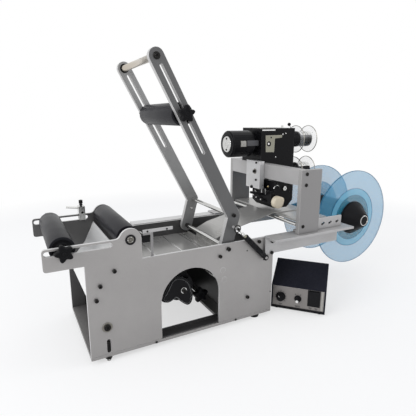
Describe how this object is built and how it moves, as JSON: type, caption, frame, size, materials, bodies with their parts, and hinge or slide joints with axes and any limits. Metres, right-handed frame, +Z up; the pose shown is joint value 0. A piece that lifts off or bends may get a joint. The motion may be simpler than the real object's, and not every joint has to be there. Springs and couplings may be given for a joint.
{
  "type": "bottle labelling machine",
  "caption": "Bench machine that wraps labels round bottles: slotted side plates with carrying rollers, sprung press lever, label ramp, date coder, label reel and a separate control box",
  "frame": {"origin": "middle of the footprint's box, on the bench", "axes": "X runs from the carrying rollers to the label reel, Y across the machine away from the viewer, Z up"},
  "size_m": [0.867, 0.3194, 0.543],
  "materials": {
    "anodised_aluminium": "satin anodised plate",
    "bright_sheet": "bright rolled sheet",
    "polished_steel": "polished",
    "dark_sheet": "dark matt sheet",
    "black_plastic": "moulded black plastic",
    "black_anodised": "black anodised housing",
    "black_rubber": "satin rubber",
    "clear_blue_plastic": "clear blue sheet",
    "clear_plastic": "clear sheet",
    "cream_plastic": "moulded cream plastic",
    "dark_blue_paint": "fine textured paint"
  },
  "bodies": {
    "frame": {"base_plate": "anodised_aluminium", "foot_rear_near": "black_rubber", "foot_rear_far": "black_rubber", "plate_near": "anodised_aluminium", "plate_far": "anodised_aluminium", "chute": "bright_sheet", "deck_front": "bright_sheet", "deck_middle": "bright_sheet", "deck_rear": "bright_sheet", "rear_cover": "dark_sheet", "cross_panel": "dark_sheet", "ramp": "bright_sheet", "guide_rod": "polished_steel", "print_bed": "bright_sheet", "beam_near": "anodised_aluminium", "beam_far": "anodised_aluminium", "rail_near": "anodised_aluminium", "rail_far": "anodised_aluminium", "upright_near": "anodised_aluminium", "upright_far": "anodised_aluminium", "cross_bar": "anodised_aluminium", "sensor_bracket": "polished_steel", "lever_axle": "polished_steel", "drive_motor": "black_anodised", "drive_belt": "black_rubber", "drive_cover": "anodised_aluminium", "reel_arm": "anodised_aluminium", "coder_body": "black_anodised", "coder_motor": "black_anodised", "adapter_plate": "anodised_aluminium", "control_box": "dark_blue_paint"},
    "front_carriage": {"front_shaft": "polished_steel"},
    "front_roller": {"roller_front": "black_rubber"},
    "rear_roller": {"roller_rear": "black_rubber"},
    "sensor": {"sensor_block": "black_plastic"},
    "clamp": {"clamp_block": "polished_steel", "clamp_screw": "black_plastic"},
    "lever": {"arm_near": "anodised_aluminium", "arm_far": "anodised_aluminium", "handle_rod": "polished_steel", "knee_rod": "polished_steel"},
    "press_carriage": {"press_shaft": "polished_steel"},
    "press_cylinder": {"press_roller": "black_rubber"},
    "return_sleeve": {"spring_sleeve": "black_rubber"},
    "return_hook": {"spring_hook": "polished_steel"},
    "motor_output": {"motor_pulley": "polished_steel"},
    "traction": {"traction_roller": "black_rubber"},
    "pinch": {"pinch_roller": "polished_steel"},
    "takeup": {"takeup_spool": "black_plastic"},
    "reel": {"reel_core": "black_plastic", "reel_disc_near": "clear_blue_plastic", "reel_disc_far": "clear_blue_plastic"},
    "ribbon_upper": {"ribbon_spool_upper": "clear_plastic"},
    "ribbon_lower": {"ribbon_spool_lower": "clear_plastic"},
    "head": {"print_head": "black_anodised"},
    "head_dial": {"head_knob": "cream_plastic"},
    "speed_dial": {"box_knob": "black_plastic"},
    "mode_dial": {"box_switch": "black_plastic"},
    "power_rocker": {"box_rocker": "black_plastic"}
  },
  "joints": [
    {"name": "lever_swing", "type": "hinge", "parent": "frame", "child": "lever", "pos_m": [-0.09151, 0.0137, 0.174], "axis": [0, -1, 0], "range_deg": [0, 48], "stiffness_Nm_per_rad": 6, "springref_deg": -28.65},
    {"name": "press_slide", "type": "slide", "parent": "lever", "child": "press_carriage", "axis": [0.4715, 0, -0.8819], "range_m": [-0.07, 0.045]},
    {"name": "press_spin", "type": "hinge", "parent": "press_carriage", "child": "press_cylinder", "pos_m": [-0.18071, 0.0137, 0.4368], "axis": [0, 1, 0], "continuous": true},
    {"name": "front_slide", "type": "slide", "parent": "frame", "child": "front_carriage", "axis": [1, 0, 0], "range_m": [-0.024, 0.028]},
    {"name": "front_spin", "type": "hinge", "parent": "front_carriage", "child": "front_roller", "pos_m": [-0.4005, 0.0137, 0.2195], "axis": [0, 1, 0], "continuous": true},
    {"name": "rear_spin", "type": "hinge", "parent": "frame", "child": "rear_roller", "pos_m": [-0.2905, 0.0137, 0.224], "axis": [0, 1, 0], "continuous": true},
    {"name": "spring_swing", "type": "hinge", "parent": "frame", "child": "return_sleeve", "pos_m": [-0.0037, -0.10283, 0.1432], "axis": [0, -1, 0], "range_deg": [0, 11.9]},
    {"name": "spring_stretch", "type": "slide", "parent": "return_sleeve", "child": "return_hook", "axis": [-0.7043, 0, 0.71], "range_m": [0, 0.0282]},
    {"name": "motor_spin", "type": "hinge", "parent": "frame", "child": "motor_output", "pos_m": [-0.0255, 0.0137, 0.09], "axis": [0, 1, 0], "continuous": true},
    {"name": "traction_spin", "type": "hinge", "parent": "frame", "child": "traction", "pos_m": [-0.1035, 0.0137, 0.131], "axis": [0, 1, 0], "continuous": true},
    {"name": "pinch_spin", "type": "hinge", "parent": "frame", "child": "pinch", "pos_m": [-0.0998, 0.0137, 0.11002], "axis": [0, 1, 0], "continuous": true},
    {"name": "takeup_spin", "type": "hinge", "parent": "frame", "child": "takeup", "pos_m": [-0.1765, 0.0137, 0.089], "axis": [0, 1, 0], "continuous": true},
    {"name": "reel_spin", "type": "hinge", "parent": "frame", "child": "reel", "pos_m": [0.3115, 0.0137, 0.18], "axis": [0, 1, 0], "continuous": true},
    {"name": "ribbon_upper_spin", "type": "hinge", "parent": "frame", "child": "ribbon_upper", "pos_m": [0.1855, 0.04367, 0.379], "axis": [1, 0, 0], "continuous": true},
    {"name": "ribbon_lower_spin", "type": "hinge", "parent": "frame", "child": "ribbon_lower", "pos_m": [0.1855, 0.04367, 0.301], "axis": [1, 0, 0], "continuous": true},
    {"name": "print_stroke", "type": "slide", "parent": "frame", "child": "head", "axis": [0, 0, -1], "range_m": [0, 0.007], "stiffness_N_per_m": 1200, "springref_m": -0.02},
    {"name": "head_dial_turn", "type": "hinge", "parent": "head", "child": "head_dial", "pos_m": [0.0765, -0.02633, 0.2412], "axis": [0, 1, 0], "range_deg": [-150, 150]},
    {"name": "sensor_slide", "type": "slide", "parent": "frame", "child": "sensor", "axis": [1, 0, 0], "range_m": [0, 0.03]},
    {"name": "clamp_slide", "type": "slide", "parent": "frame", "child": "clamp", "axis": [1, 0, 0], "range_m": [-0.01, 0.01]},
    {"name": "speed_dial_turn", "type": "hinge", "parent": "frame", "child": "speed_dial", "pos_m": [0.05622, -0.08622, 0.03348], "axis": [-0.7361, -0.6769, 0], "range_deg": [-140, 140]},
    {"name": "mode_dial_turn", "type": "hinge", "parent": "frame", "child": "mode_dial", "pos_m": [0.08222, -0.11448, 0.03348], "axis": [-0.7361, -0.6769, 0], "range_deg": [-45, 45]},
    {"name": "power_rocker_tilt", "type": "hinge", "parent": "frame", "child": "power_rocker", "pos_m": [0.10614, -0.13976, 0.0388], "axis": [0.6769, -0.7361, 0], "range_deg": [-6, 6]}
  ],
  "couplings": [
    {"joint": "spring_swing", "follows": "lever_swing", "ratio": 0.24792},
    {"joint": "spring_stretch", "follows": "lever_swing", "m_per_rad": 0.033661},
    {"joint": "traction_spin", "follows": "motor_spin", "ratio": 1},
    {"joint": "pinch_spin", "follows": "motor_spin", "ratio": -1.3333},
    {"joint": "takeup_spin", "follows": "motor_spin", "ratio": 1}
  ]
}
